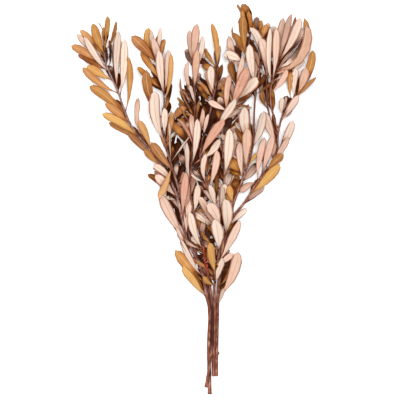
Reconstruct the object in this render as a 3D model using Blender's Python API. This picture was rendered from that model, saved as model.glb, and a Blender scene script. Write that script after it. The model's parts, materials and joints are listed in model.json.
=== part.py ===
"""A bunch of dried banksia foliage, lying on a surface.

Five woody stems lie together at their cut ends and spread into leafy shoots. Each
shoot carries groups of long, thin leaves. The leaves of one group grow from a sleeve
of bark round the shoot, and a group is one solid. Its tips point along +Y, +Z is up,
and the origin is the middle of the floor area that the bunch covers.
The tables are in millimetres and the meshes in metres.
"""

import math
import random
from collections import namedtuple

import bmesh
import bpy
import numpy as np
from mathutils import Vector
from mathutils.bvhtree import BVHTree

MM = 0.001
SEED = 13

STEM_SIDES = 6
RING_STEP = 24.0  # length of stem between two rings of its mesh
RING_SNAP = 2.0
GAP = 0.35  # between a stem and the sleeve round it, and where a shoot meets its stem
SLEEVE_WALL = 1.1
SLEEVE_MARGIN = 3.5  # sleeve beyond the first and the last leaf base
FORK_SHARE = 0.8  # of its stem's radius: a shoot's radius where it leaves the stem

LEAF_THICKNESS = 1.0
UPPER_SHARE = 0.35  # of the thickness; the rest is the midrib's side, the underside
LEAF_STATIONS = (0.0, 0.22, 0.5, 0.79, 0.94)  # sections along a leaf, before its tip
PETIOLE = 0.13  # width of the leaf stalk, as a share of the leaf's width
WIDEST_POWER = 1.45  # puts the widest place at six tenths of the length
OUTLINE_POWER = 0.62
FULL_WIDTH = 7.5  # a leaf that looks narrower than NARROW is this wide, turned on edge
NARROW = 6.5
WIDEN = 1.1  # the tables' widths are a little narrow
MOST_TILT = 18.0  # degrees that a leaf leans to one side
MOST_TWIST = 22.0  # degrees that it turns between its foot and its tip
SPREAD = math.radians(31.0)  # between a leaf and its shoot
LEAST_REACH, MOST_REACH = 10.0, 33.0  # how far from its shoot a leaf's tip stands
OUTWARD_BULGE = 0.74  # height of a leaf's middle control point, as a share of its tip's
CLEARANCE = 0.4  # kept round a leaf
HIGHEST = 92.0

# A stem or a shoot: the stem and y that a shoot forks from, its radius at its foot and
# at its end, the points it runs through, and its leaves, group by group.
Stem = namedtuple("Stem", "fork radii route groups")
# A leaf: where along its stem (y) it grows, its tip's x and y, its width as seen from
# above, the face that looks up (u, underside, or t, top; a capital where the leaf is
# above its shoot), how far it bows to its left, and how much higher its tip stands.
Leaf = namedtuple("Leaf", "y tip_x tip_y width face bow lift", defaults=(0.0, 0.0))

STEMS = {
    "left_stem": Stem(
        None, (3.1, 1.3),
        [(-3.5, 0, 3.2), (-4.5, 40, 6), (-5.2, 70, 9), (-4.6, 98, 12), (-3, 128, 15),
         (-5, 146, 17), (-10, 165, 19), (-14, 192, 22), (-22, 214, 24), (-36, 240, 27),
         (-43, 256, 28), (-46, 276, 29), (-55, 316, 31), (-64, 338, 32), (-73, 356, 33),
         (-85, 372, 34), (-95, 387, 34), (-108, 403, 35), (-123, 420, 35),
         (-134, 440, 36), (-142, 462, 36), (-148, 480, 36), (-156, 498, 37),
         (-163, 515, 37), (-170, 530, 38), (-172, 548, 38)],
        [[Leaf(158, -47, 206, 12, "T"), Leaf(165, -59, 232, 17, "T", -1, 6),
          Leaf(190, -50, 250, 9, "U", 4)],
         [Leaf(208, -57, 270, 9, "U", 4), Leaf(250, -80, 322, 17, "U", 3),
          Leaf(258, -52, 318, 9, "t")],
         [Leaf(285, -40, 356, 12, "U", 2), Leaf(312, -103, 353, 12, "T", -5),
          Leaf(318, -90, 352, 13, "U")],
         [Leaf(336, -92, 359, 11, "u"), Leaf(340, -93, 367, 12, "U"),
          Leaf(344, -62, 398, 9, "t"), Leaf(366, -107, 392, 9, "T")],
         [Leaf(380, -133, 419, 9, "T", 2), Leaf(390, -116, 438, 10, "T", -3),
          Leaf(402, -166, 437, 12, "t", -3), Leaf(409, -117, 475, 10, "U", 5),
          Leaf(413, -174, 449, 13, "T", -4)],
         [Leaf(434, -169, 465, 13, "T", -2), Leaf(445, -195, 493, 15, "T", -5),
          Leaf(453, -134, 541, 11, "T", -5)],
         [Leaf(478, -139, 568, 12, "U", -2), Leaf(483, -206, 523, 12, "T", 5),
          Leaf(491, -148, 581, 13, "U", 2), Leaf(496, -157, 564, 8, "u"),
          Leaf(503, -199, 525, 13, "T")],
         [Leaf(516, -203, 570, 11, "U", 2), Leaf(519, -213, 546, 12, "t"),
          Leaf(522, -163, 568, 3, "u", -5), Leaf(526, -224, 557, 13, "T", -2),
          Leaf(534, -215, 576, 9, "U", 2), Leaf(539, -209, 582, 11, "T", -2),
          Leaf(543, -188, 591, 14, "T", 2), Leaf(545, -182, 599, 4, "t", -5),
          Leaf(546, -171, 585, 8, "T"), Leaf(547, -163, 602, 12, "T"),
          Leaf(547, -152, 598, 6, "t", -3)]]),
    "inner_left_stem": Stem(
        None, (2.6, 1.2),
        [(-0.5, 58, 2.8), (0, 76, 4), (-0.5, 98, 6.5), (-2.6, 128, 8.6), (-4.8, 160, 11),
         (-11.2, 190, 14.2), (-20, 214, 16.6), (-31, 240, 20), (-37.5, 256, 23),
         (-40, 276, 27), (-48, 316, 33), (-55, 336, 36), (-64, 366, 38), (-74, 398, 40),
         (-78, 420, 41), (-78, 445, 41), (-76, 468, 41), (-77, 490, 41),
         (-83, 515, 41), (-90, 538, 41)],
        [[Leaf(336, -52, 372, 9, "t", 3), Leaf(344, -70, 394, 8, "t"),
          Leaf(358, -96, 403, 14, "T"), Leaf(364, -84, 314, 11, "T", 0, 18),
          Leaf(372, -68, 434, 5, "U"), Leaf(380, -84, 430, 9, "t")],
         [Leaf(402, -63, 452, 9, "T", -2), Leaf(405, -90, 484, 19, "U", 7),
          Leaf(415, -75, 457, 10, "U"), Leaf(441, -104, 518, 14, "T", 8),
          Leaf(446, -66, 500, 8, "t")],
         [Leaf(468, -65, 543, 8, "T", -4), Leaf(480, -84, 548, 13, "U"),
          Leaf(484, -70, 549, 13, "U", -3), Leaf(486, -98, 532, 11, "t"),
          Leaf(488, -118, 524, 9, "T", 2), Leaf(496, -94, 569, 14, "U", -2),
          Leaf(500, -115, 549, 10, "t")],
         [Leaf(524, -75, 568, 7, "T"), Leaf(529, -128, 571, 16, "T", -3),
          Leaf(533, -101, 589, 14, "t", 6), Leaf(536, -82, 586, 7, "U", -2),
          Leaf(537, -97, 580, 9, "U", 1)]]),
    "middle_stem": Stem(
        None, (2.3, 1.1),
        [(-9.6, 11.5, 8.8), (-6.9, 27, 10.3), (-4, 44, 12.2), (-2, 62, 13.7), (0, 80, 15.2),
         (1.2, 100, 17.2), (1, 125, 19.7), (0, 150, 22), (-2.5, 172, 25), (-8, 200, 29),
         (-12, 224, 31), (-14, 240, 31), (-19, 258, 30), (-25, 278, 29), (-31, 298, 29),
         (-35, 325, 29), (-34, 352, 30), (-32, 385, 30), (-29, 420, 31), (-27, 450, 32),
         (-27, 480, 33), (-30, 508, 33), (-31, 535, 34)],
        [[Leaf(233, -35, 293, 11, "U", 3), Leaf(248, -29, 294, 10, "t")],
         [Leaf(292, -22, 337, 11, "U"), Leaf(298, -48, 350, 9, "t")],
         [Leaf(343, -39, 403, 8, "U", 4), Leaf(350, -56, 413, 11, "t"),
          Leaf(357, -44, 430, 10, "t"), Leaf(366, -23, 441, 11, "U", -2)],
         [Leaf(392, -67, 440, 12, "T"), Leaf(398, -13, 457, 9, "U", -3),
          Leaf(425, -22, 470, 5, "T")],
         [Leaf(438, -59, 444, 12, "t", -18), Leaf(444, -50, 484, 8, "T"),
          Leaf(448, -53, 505, 4, "T", 4), Leaf(456, -19, 500, 7, "t"),
          Leaf(464, -36, 494, 6, "U"), Leaf(478, -38, 531, 7, "U", 4),
          Leaf(491, -23, 549, 12, "U")],
         [Leaf(515, -15, 572, 9, "U", -3), Leaf(531, -24, 591, 12, "U"),
          Leaf(533, -36, 581, 10, "U", 2)]]),
    "centre_stem": Stem(
        None, (2.3, 1.2),
        [(2.2, 29, 6.5), (2.2, 60, 9), (3.9, 85, 12), (4.3, 110, 15), (4, 140, 18),
         (3.7, 171, 22), (7.2, 200, 27), (11, 225, 31), (14, 250, 34), (14, 276, 36),
         (4, 306, 38), (-8, 334, 40), (-16, 358, 41), (-19, 384, 41), (-15, 410, 41),
         (-6, 440, 40), (1, 470, 40), (7, 500, 40), (9, 524, 40)],
        [[Leaf(176, -14, 190, 8.5, "T", 1), Leaf(181, 18, 220, 11, "U"),
          Leaf(187, 11, 213, 9, "T"), Leaf(194, -3, 244, 13, "T"),
          Leaf(199, 8, 241, 8, "u", -3), Leaf(208, 33, 227, 11, "U"),
          Leaf(214, 44, 280, 11, "U", -2), Leaf(221, -18, 263, 7, "T")],
         [Leaf(232, 5, 282, 19, "U", -1), Leaf(237, -11, 278, 9, "u"),
          Leaf(260, -21, 318, 15, "U"), Leaf(268, -6, 307, 17, "U", 2)],
         [Leaf(298, -4, 336, 9, "U"), Leaf(304, 9, 369, 8, "t"),
          Leaf(332, 8, 391, 13, "U", -5), Leaf(340, -9, 385, 9, "U", 5),
          Leaf(348, -1, 396, 9, "t")],
         [Leaf(376, 13, 408, 11, "U", -3), Leaf(382, 20, 439, 15, "U", 3),
          Leaf(388, -30, 432, 9, "t")],
         [Leaf(414, -5, 448, 7, "U"), Leaf(420, -18, 466, 9, "t"),
          Leaf(440, 16, 484, 10, "t")],
         [Leaf(466, -16, 482, 6, "T"), Leaf(470, -21, 493, 8, "t"),
          Leaf(474, -20, 500, 6, "T"), Leaf(478, -10, 516, 9, "U"),
          Leaf(483, -2, 524, 11, "U", 2), Leaf(490, 15, 531, 9, "t", -2)],
         [Leaf(518, -16, 523, 13, "T", -3), Leaf(521, -13, 552, 7, "T"),
          Leaf(522, 0, 591, 9, "T", -2)]]),
    "right_stem": Stem(
        None, (3, 1.3),
        [(6.9, 29, 3.1), (7, 60, 4.9), (8, 98, 8.5), (8.9, 136, 12), (9.8, 171, 16),
         (14.8, 200, 20), (18, 232, 24), (22, 262, 27), (31, 284, 30), (48, 301, 32),
         (66, 331, 34), (81, 353, 35), (96, 370, 36), (104, 394, 37), (105, 419, 37),
         (109, 438, 37), (121, 465, 38), (138, 481, 38)],
        [[Leaf(146, 18, 172, 6, "U"), Leaf(158, 41, 230, 17, "U", -7),
          Leaf(168, 26, 213, 10, "t", -3), Leaf(174, 31, 206, 4, "t")],
         [Leaf(249, 38, 285, 14, "t", -2), Leaf(256, 20, 314, 18, "U"),
          Leaf(267, 16, 334, 16, "U", 2), Leaf(271, 56, 299, 8, "U")],
         [Leaf(303, 87, 347, 12, "t", -1), Leaf(324, 107, 369, 14, "T", -2)],
         [Leaf(338, 45, 325, 12, "U"), Leaf(343, 84, 412, 11, "U", 4),
          Leaf(353, 96, 414, 13, "U", 1), Leaf(358, 113, 384, 11, "T", 2),
          Leaf(362, 79, 382, 8, "t"), Leaf(377, 120, 412, 11, "U", -1),
          Leaf(385, 127, 438, 14, "U", -3)],
         [Leaf(401, 84, 452, 15, "U", 3), Leaf(406, 98, 452, 8, "t")],
         [Leaf(438, 126, 460, 11, "U", -1), Leaf(441, 137, 477, 12, "U", -1),
          Leaf(447, 112, 475, 8, "U", 2), Leaf(451, 120, 476, 6, "u")],
         [Leaf(470, 126, 521, 9, "T", 3), Leaf(473, 164, 507, 7, "T", -2),
          Leaf(476, 134, 521, 11, "U", 2), Leaf(479, 149, 522, 14, "U", -2),
          Leaf(480, 160, 550, 13, "T", -6)]]),
    "centre_right_shoot": Stem(
        ("right_stem", 281), (1.8, 1.1),
        [(33, 303, 38), (42, 328, 41), (51, 350, 43), (60, 376, 44),
         (65, 402, 45), (66.5, 440, 45), (68, 470, 45), (72, 500, 46), (77, 530, 47),
         (78, 548, 47), (74, 568, 47), (70, 584, 47)],
        [[Leaf(308, 27, 335, 12, "T", 2), Leaf(314, 50, 348, 9, "t")],
         [Leaf(341, 72, 371, 13, "u", -1), Leaf(346, 43, 403, 12, "U", 1),
          Leaf(352, 29, 381, 15, "T", 3), Leaf(361, 55, 426, 15, "U", 1),
          Leaf(366, 70, 387, 6, "T")],
         [Leaf(384, 37, 427, 9, "T"), Leaf(388, 46, 442, 10, "u"),
          Leaf(395, 79, 453, 15, "U", -4), Leaf(401, 51, 459, 17, "U", 6),
          Leaf(408, 58, 466, 7, "t", 2)],
         [Leaf(474, 62, 500, 9, "t"), Leaf(480, 80, 530, 8, "t"),
          Leaf(492, 59, 557, 12, "U", 3)],
         [Leaf(522, 67, 548, 8, "U"), Leaf(530, 60, 584, 14, "U", -4)],
         [Leaf(556, 92, 583, 10, "t", -3), Leaf(564, 85, 590, 10, "T", -2),
          Leaf(572, 63, 598, 8, "t"), Leaf(578, 77, 597, 7, "T", -2)]]),
    "centre_top_shoot": Stem(
        ("centre_stem", 392), (1.5, 1.0),
        [(-9, 405, 48), (0, 419, 51), (10, 430, 52), (20, 441, 52), (30, 456, 50),
         (37, 478, 49), (41, 503, 48), (50, 528, 48), (57, 553, 48), (61, 578, 48)],
        [[Leaf(424, 38, 471, 14, "U", -4), Leaf(434, 6, 462, 9, "t"),
          Leaf(438, 12, 476, 13, "u"), Leaf(446, 27, 509, 11, "U"),
          Leaf(452, -6, 469, 10, "U"), Leaf(457, 56, 520, 16, "U"),
          Leaf(460, 63, 488, 13, "u", -2), Leaf(462, 13, 494, 8, "t", -2),
          Leaf(464, 60, 479, 6, "T"), Leaf(467, 14, 502, 6, "T", -5),
          Leaf(470, 71, 505, 17, "U", -2)],
         [Leaf(486, 22, 541, 5, "T", -4), Leaf(489, 50, 538, 9, "U"),
          Leaf(494, 31, 534, 6, "t")],
         [Leaf(516, 27, 573, 12, "u", 2), Leaf(521, 41, 567, 10, "u"),
          Leaf(526, 21, 554, 6, "u"), Leaf(530, 19, 544, 15, "U", -2),
          Leaf(544, 48, 602, 13, "T", 3), Leaf(550, 33, 589, 4, "T", 8)],
         [Leaf(572, 47, 612, 8, "T", 1), Leaf(575, 39, 624, 4, "t", -3),
          Leaf(576, 57, 610, 9, "T"), Leaf(577, 47, 622, 13, "T", -5)]]),
    "centre_inner_shoot": Stem(
        ("centre_stem", 281), (1.4, 1.0),
        [(20, 306, 34), (20, 336, 35), (19, 360, 37), (17, 385, 38),
         (15, 408, 37), (12, 430, 36)],
        [[Leaf(320, 19, 366, 8, "u"), Leaf(352, 28, 425, 17, "U", -2),
          Leaf(360, 6, 402, 9, "t")],
         [Leaf(408, 5, 462, 9, "t"), Leaf(426, 26, 470, 10, "t")]]),
    "top_right_shoot": Stem(
        ("right_stem", 420), (1.5, 1.1),
        [(99, 438, 42), (94, 460, 42), (92, 480, 42), (95, 500, 42),
         (101, 518, 42), (107, 537, 42)],
        [[Leaf(452, 95, 490, 9, "t", -3)],
         [Leaf(484, 119, 519, 10, "U", -3), Leaf(496, 93, 584, 10, "U", 3),
          Leaf(501, 101, 583, 11, "U")],
         [Leaf(509, 106, 588, 8, "u"), Leaf(511, 132, 527, 11, "U", -1),
          Leaf(513, 148, 604, 10, "t", -26), Leaf(516, 149, 588, 17, "U", -21),
          Leaf(521, 147, 570, 13, "U", -9), Leaf(530, 136, 607, 4, "t", -2),
          Leaf(532, 143, 580, 13, "U", -2), Leaf(534, 138, 599, 14, "U", -4),
          Leaf(535, 112, 599, 14, "U", 2), Leaf(536, 122, 606, 13, "U", -1)]]),
    "inner_right_shoot": Stem(
        ("right_stem", 413), (1.3, 1.0),
        [(94, 436, 31), (89, 456, 33), (87, 474, 35), (87, 500, 36), (87, 516, 36)],
        [[Leaf(457, 78, 484, 7, "T", 2), Leaf(464, 93, 502, 9, "t"),
          Leaf(470, 86, 512, 9, "t")],
         [Leaf(505, 76, 568, 15, "U", -3), Leaf(512, 92, 561, 10, "t")]]),
}

# Leaves on the floor side of each group. They are set by rule: they follow the mean
# direction of the group's other leaves and spread a little to both sides of it.
OUTER_UNDER = (2, math.radians(12.0))  # how many to a group, and how far they spread
INNER_UNDER = (3, math.radians(50.0))
INNER_STEMS = ("inner_left_stem", "middle_stem", "centre_stem", "centre_inner_shoot")
UNDER_LENGTHS = (30.0, 44.0)
UNDER_WIDTHS = (10.0, 15.0)

OCHRE = (0.58, 0.31, 0.10)
PALE_PINK = (0.83, 0.65, 0.55)
BARK = (0.22, 0.10, 0.065)


def smooth_route(points, step):
    """Points about step apart on a smooth curve through the given ones."""
    given = [np.array(p, float) for p in points]
    ends = [2 * given[0] - given[1]] + given + [2 * given[-1] - given[-2]]
    fine = []
    for a, b, c, d in zip(ends, ends[1:], ends[2:], ends[3:]):
        for t in np.linspace(0, 1, 12, endpoint=False):
            curve = 2 * b + (c - a) * t + (2 * a - 5 * b + 4 * c - d) * t * t
            fine.append(0.5 * (curve + (3 * b - a - 3 * c + d) * t**3))
    fine.append(given[-1])
    fine = np.array(fine)
    run = np.concatenate([[0], np.cumsum(np.linalg.norm(np.diff(fine, axis=0), axis=1))])
    count = max(3, round(run[-1] / step) + 1)
    places = np.linspace(0, run[-1], count)
    return np.column_stack([np.interp(places, run, fine[:, k]) for k in range(3)])


def unit(vector):
    return vector / np.linalg.norm(vector)


class Twig:
    """A stem or shoot: a row of rings, read at any y along it."""

    def __init__(self, stem, carrier=None):
        route = stem.route
        if carrier:
            route = [carrier.centre(stem.fork[1])] + route
        self.centres = smooth_route(route, RING_STEP)
        self.radii = np.linspace(*stem.radii, len(self.centres))
        if carrier:
            most = FORK_SHARE * carrier.radius(stem.fork[1])
            self.radii[0] = min(self.radii[0], most)
        self.tangents = [unit(t) for t in np.gradient(self.centres, axis=0)]
        self.rings = [
            ring_round(c, t, r)
            for c, t, r in zip(self.centres, self.tangents, self.radii)
        ]

    def place(self, y):
        """(index, fraction) of the ring before y and the way on to the next one."""
        ys = self.centres[:, 1]
        index = int(np.clip(np.searchsorted(ys, y) - 1, 0, len(ys) - 2))
        share = (y - ys[index]) / (ys[index + 1] - ys[index])
        return index, float(np.clip(share, 0, 1))

    def centre(self, y):
        i, f = self.place(y)
        return self.centres[i] * (1 - f) + self.centres[i + 1] * f

    def tangent(self, y):
        i, f = self.place(y)
        return unit(self.tangents[i] * (1 - f) + self.tangents[i + 1] * f)

    def radius(self, y):
        i, f = self.place(y)
        return self.radii[i] * (1 - f) + self.radii[i + 1] * f

    def near_ring(self, y):
        """y, or the y of a ring that is closer to it than RING_SNAP."""
        nearest = min(self.centres[1:, 1], key=lambda ring_y: abs(ring_y - y))
        return nearest if abs(nearest - y) < RING_SNAP else y

    def ring(self, y, grow):
        """The stem's own ring at y, grown outwards, so a sleeve keeps an even gap."""
        i, f = self.place(y)
        ring = self.rings[i] * (1 - f) + self.rings[i + 1] * f
        centre = ring.mean(axis=0)
        arms = ring - centre
        return centre + arms * (1 + grow / np.linalg.norm(arms, axis=1, keepdims=True))


def ring_round(centre, tangent, radius):
    side = unit(np.cross(tangent, (0, 0, 1)))
    up = np.cross(side, tangent)
    turns = np.arange(STEM_SIDES) * 2 * math.pi / STEM_SIDES
    return np.array(
        [centre + radius * (math.cos(a) * side - math.sin(a) * up) for a in turns]
    )


def bridge(first, second, count):
    """Quads between two rings, by the numbers of their first points."""
    steps = [(k, (k + 1) % count) for k in range(count)]
    return [(first + a, first + b, second + b, second + a) for a, b in steps]


def stem_shape(twig):
    n = STEM_SIDES
    points = np.concatenate(twig.rings)
    faces = [tuple(reversed(range(n)))]
    for k in range(len(twig.rings) - 1):
        faces += bridge(k * n, (k + 1) * n, n)
    faces.append(tuple(range(len(points) - n, len(points))))
    return points, faces


def sleeve_shape(twig, low, high):
    """A tube round the twig from low to high, closed like a cap over the twig's end."""
    start = twig.centres[0][1] + GAP
    end = twig.centres[-1][1]
    low = twig.near_ring(max(low, start))
    capped = high > end - SLEEVE_WALL
    high = end if capped else twig.near_ring(high)
    between = [y for y in twig.centres[:, 1] if low < y < high]
    heights = [low] + between + [high]
    outer = [twig.ring(y, GAP + SLEEVE_WALL) for y in heights]
    inner = [twig.ring(y, GAP) for y in heights]
    if capped:
        ahead = twig.tangents[-1]
        outer[-1] = outer[-1] + ahead * GAP
        inner[-1] = inner[-1] + ahead * GAP
    n = STEM_SIDES
    points = list(np.concatenate(outer + inner))
    rows = len(heights)
    faces = []
    for k in range(rows - 1):
        faces += bridge(k * n, (k + 1) * n, n)
        faces += [tuple(reversed(f)) for f in bridge((rows + k) * n, (rows + k + 1) * n, n)]
    faces += bridge(rows * n, 0, n)
    last_outer, last_inner = (rows - 1) * n, (2 * rows - 1) * n
    if not capped:
        return np.array(points), faces + bridge(last_outer, last_inner, n)
    tip = len(points)
    points.append(twig.centres[-1] + ahead * (GAP + SLEEVE_WALL))
    faces += [(last_outer + k, last_outer + (k + 1) % n, tip) for k in range(n)]
    faces.append(tuple(reversed(range(last_inner, last_inner + n))))
    return np.array(points), faces


def outline(share):
    """A leaf's width at this share of its length, as a share of its full width."""
    swell = math.sin(math.pi * share**WIDEST_POWER) ** OUTLINE_POWER
    return PETIOLE + (1 - PETIOLE) * swell


class LeafPlan:
    """One leaf's size and direction, before it is nudged clear of its neighbours."""

    def __init__(self, twig, leaf, draw):
        self.face = leaf.face
        self.above = leaf.face.isupper()
        self.centre = twig.centre(leaf.y)
        self.tangent = twig.tangent(leaf.y)
        self.root_reach = 0.95 * (twig.radius(leaf.y) + GAP) + SLEEVE_WALL / 2
        flat_tip = np.array([leaf.tip_x, leaf.tip_y, self.centre[2]], float)
        reach = flat_tip - self.centre
        ahead = unit(np.array([self.tangent[0], self.tangent[1], 0]))
        along = float(reach @ ahead)
        aside = math.sqrt(max(float(reach @ reach) - along**2, 0))
        spread = min(max(along * math.tan(SPREAD), LEAST_REACH), MOST_REACH)
        rise = math.sqrt(max(spread**2 - aside**2, (0.25 * spread) ** 2))
        self.rise = (rise if self.above else -rise) + leaf.lift
        self.flat_tip = flat_tip
        self.left = np.array([-unit(reach)[1], unit(reach)[0], 0.0])
        self.bow = leaf.bow
        tilt = draw.uniform(-MOST_TILT, MOST_TILT)
        self.width = leaf.width * WIDEN / math.cos(math.radians(tilt))
        if leaf.width < NARROW:
            self.width = FULL_WIDTH
            tilt = math.copysign(math.degrees(math.acos(leaf.width / FULL_WIDTH)), tilt)
        self.tilt = math.radians(tilt)
        self.twist = math.radians(draw.uniform(-MOST_TWIST, MOST_TWIST))

    def spine(self, lift, bend):
        """Control points of the leaf's midrib, for this much lift and extra bow."""
        rise = self.rise + lift
        tip = self.flat_tip + np.array([0, 0, rise])
        tip[2] = min(max(tip[2], 0), HIGHEST)
        middle = (self.centre + tip) / 2 + self.left * 2 * (self.bow + bend)
        middle[2] = self.centre[2] + OUTWARD_BULGE * (tip[2] - self.centre[2])
        away = middle - self.centre
        away = unit(away - self.tangent * float(away @ self.tangent))
        return self.centre + away * self.root_reach, middle, tip

    def shape(self, lift=0.0, turn=0.0, bend=0.0, grow=0.0):
        """(points, faces) of the leaf's solid; grow adds clearance all round it."""
        root, middle, tip = self.spine(lift, bend)
        up_share = UPPER_SHARE if self.face.lower() == "t" else 1 - UPPER_SHARE
        points = []
        for s in LEAF_STATIONS:
            place = root * (1 - s) ** 2 + middle * 2 * s * (1 - s) + tip * s * s
            ahead = unit((middle - root) * (1 - s) + (tip - middle) * s)
            side = unit(np.cross(ahead, (0, 0, 1)))
            up = np.cross(side, ahead)
            angle = self.tilt + turn + self.twist * (s - 0.5)
            across = side * math.cos(angle) + up * math.sin(angle)
            normal = np.cross(across, ahead)
            half = self.width * outline(s) / 2 + grow
            above = LEAF_THICKNESS * up_share + grow
            below = LEAF_THICKNESS * (1 - up_share) + grow
            section = [across * half, -normal * below, -across * half, normal * above]
            lowest = min(p[2] for p in section) + grow
            place[2] = max(place[2], -lowest)
            points += [place + p for p in section]
        tip[2] = max(tip[2], LEAF_THICKNESS / 2)
        points.append(tip + unit(tip - middle) * grow)
        faces = [(3, 2, 1, 0)]
        last = 4 * (len(LEAF_STATIONS) - 1)
        for first in range(0, last, 4):
            faces += bridge(first, first + 4, 4)
        faces += [(last + k, last + (k + 1) % 4, last + 4) for k in range(4)]
        return np.array(points), faces


def tree_of(points, faces):
    return BVHTree.FromPolygons([Vector(p) for p in points], faces)


class Solid:
    """A stem, a sleeve or a leaf in its place, as its neighbours meet it."""

    def __init__(self, points, faces, group, kind):
        self.low, self.high = points.min(axis=0), points.max(axis=0)
        self.group, self.kind = group, kind
        self.whole = tree_of(points, faces)
        # The leaves of one group may share the foot of their stalks.
        blade = [f for f in faces if min(f) >= 4] if kind == "leaf" else faces
        self.blade = tree_of(points, blade)

    def is_far(self, other):
        return (self.low > other.high).any() or (self.high < other.low).any()

    def hits(self, other):
        if self.is_far(other):
            return False
        if self.group != other.group and other.kind != "stem":
            return bool(self.whole.overlap(other.whole))
        return other.kind != "sleeve" and bool(self.blade.overlap(other.blade))


def is_free(plan, change, group, placed):
    grown = Solid(*plan.shape(*change, grow=CLEARANCE), group, "leaf")
    if grown.high[2] > HIGHEST + CLEARANCE:
        return False
    bare = Solid(*plan.shape(*change), group, "leaf")
    for other in placed:
        if grown.hits(other):
            return False
        if other.kind == "stem" and bare.whole.overlap(other.whole):
            return False
    return True


def changes(above):
    """Small changes of lift, turn and bow to try, the least first."""
    sign = 1 if above else -1
    found = []
    for size in (0, 3, 6, 9, 12, 16, 20, 25):
        for lift in {sign * size, -sign * size * 0.6}:
            for turn in (0, 25, -25, 50, -50):
                for bend in (0, 3, -3):
                    cost = size + abs(turn) * 0.16 + abs(bend) * 1.2
                    cost += 3 if lift * sign < 0 else 0
                    found.append((cost, lift, math.radians(turn), bend))
    return [change for _, *change in sorted(found)]


def under_leaves(twig, run, count, spread, draw):
    """Leaves on the floor side of a group, along it and beneath its other leaves."""
    low, high = run[0].y, run[-1].y
    reaches = [
        np.array([leaf.tip_x, leaf.tip_y]) - twig.centre(leaf.y)[:2] for leaf in run
    ]
    ahead_x, ahead_y = sum(reaches)
    made = []
    for k in range(count):
        y = low + (high - low) * (k + 0.5) / count
        x0, y0, _ = twig.centre(y)
        turn = spread * (k % 2 - 0.5) + draw.uniform(-0.15, 0.15)
        course = math.atan2(ahead_y, ahead_x) + turn
        length = draw.uniform(*UNDER_LENGTHS)
        tip_x, tip_y = x0 + length * math.cos(course), y0 + length * math.sin(course)
        face = draw.choice("uut")
        made.append(Leaf(y, tip_x, tip_y, draw.uniform(*UNDER_WIDTHS), face))
    return made


def material(name, colour):
    made = bpy.data.materials.new(name)
    made.use_nodes = True
    shader = made.node_tree.nodes["Principled BSDF"]
    shader.inputs["Base Color"].default_value = (*colour, 1)
    shader.inputs["Roughness"].default_value = 0.7
    return made


def add_object(name, points, faces, finish, parent=None):
    mesh = bpy.data.meshes.new(name)
    mesh.from_pydata([Vector(p) * MM for p in points], [], faces)
    work = bmesh.new()
    work.from_mesh(mesh)
    bmesh.ops.triangulate(work, faces=work.faces[:])
    work.to_mesh(mesh)
    work.free()
    mesh.shade_smooth()
    mesh.set_sharp_from_angle(angle=math.radians(50))
    made = bpy.data.objects.new(name, mesh)
    made.data.materials.append(finish)
    made.parent = parent
    bpy.context.scene.collection.objects.link(made)
    return made


def unite(target, points, faces):
    """Joins one more solid to the target with a Boolean union."""
    extra = add_object("extra", points, faces, target.data.materials[0])
    cut = target.modifiers.new("Union", "BOOLEAN")
    cut.operation = "UNION"
    cut.solver = "EXACT"
    cut.object = extra
    bpy.context.view_layer.objects.active = target
    bpy.ops.object.modifier_apply(modifier=cut.name)
    bpy.data.meshes.remove(extra.data)


def clear_scene():
    for old in list(bpy.data.objects):
        bpy.data.objects.remove(old)


def plan_groups(twigs, draw):
    """[(name, twig, leaves)] of all leaf groups."""
    groups = []
    for stem_name, stem in STEMS.items():
        twig = twigs[stem_name]
        under = INNER_UNDER if stem_name in INNER_STEMS else OUTER_UNDER
        for number, run in enumerate(stem.groups, 1):
            name = f"{stem_name}_leaves_{number}"
            groups.append((name, twig, run, under_leaves(twig, run, *under, draw)))
    return groups


def main():
    clear_scene()
    draw = random.Random(SEED)
    twigs = {}
    for name, stem in STEMS.items():
        twigs[name] = Twig(stem, twigs[stem.fork[0]] if stem.fork else None)
    stems = {name: stem_shape(twig) for name, twig in twigs.items()}
    groups = plan_groups(twigs, draw)
    sleeves = {}
    for name, twig, run, _ in groups:
        low, high = run[0].y - SLEEVE_MARGIN, run[-1].y + SLEEVE_MARGIN
        sleeves[name] = sleeve_shape(twig, low, high)
    placed = [Solid(*shape, name, "stem") for name, shape in stems.items()]
    placed += [Solid(*shape, name, "sleeve") for name, shape in sleeves.items()]
    tries = {above: changes(above) for above in (True, False)}
    blades = {name: [] for name in sleeves}
    waiting = [(name, twig, leaf) for name, twig, run, _ in groups for leaf in run]
    waiting += [(name, twig, leaf) for name, twig, _, under in groups for leaf in under]
    for name, twig, leaf in waiting:
        plan = LeafPlan(twig, leaf, draw)
        for change in tries[plan.above]:
            if is_free(plan, change, name, placed):
                points, faces = plan.shape(*change)
                blades[name].append((points, faces))
                placed.append(Solid(points, faces, name, "leaf"))
                break
        else:
            print("no free place for", name, leaf)
    bunch = bpy.data.objects.new("bunch", None)
    bpy.context.scene.collection.objects.link(bunch)
    finishes = {
        "bark": material("dried_bark", BARK),
        "t": material("dried_leaf_ochre", OCHRE),
        "u": material("dried_leaf_pink", PALE_PINK),
    }
    everything = []
    wood = {}
    for name, shape in stems.items():
        everything.append(shape[0])
        if STEMS[name].fork:
            wood[name] = wood[STEMS[name].fork[0]]
            unite(wood[name], *shape)
        else:
            wood[name] = add_object(name, *shape, finishes["bark"], bunch)
    for name, _, run, _ in groups:
        tops = sum(leaf.face in "tT" for leaf in run)
        finish = finishes["t" if tops * 2 > len(run) else "u"]
        group = add_object(name, *sleeves[name], finish, bunch)
        for points, faces in blades[name]:
            unite(group, points, faces)
            everything.append(points)
    everything = np.concatenate(everything)
    low, high = everything.min(axis=0), everything.max(axis=0)
    bunch.location = Vector((low + high) / -2 * MM)
    bunch.location.z = -low[2] * MM


main()
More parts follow.
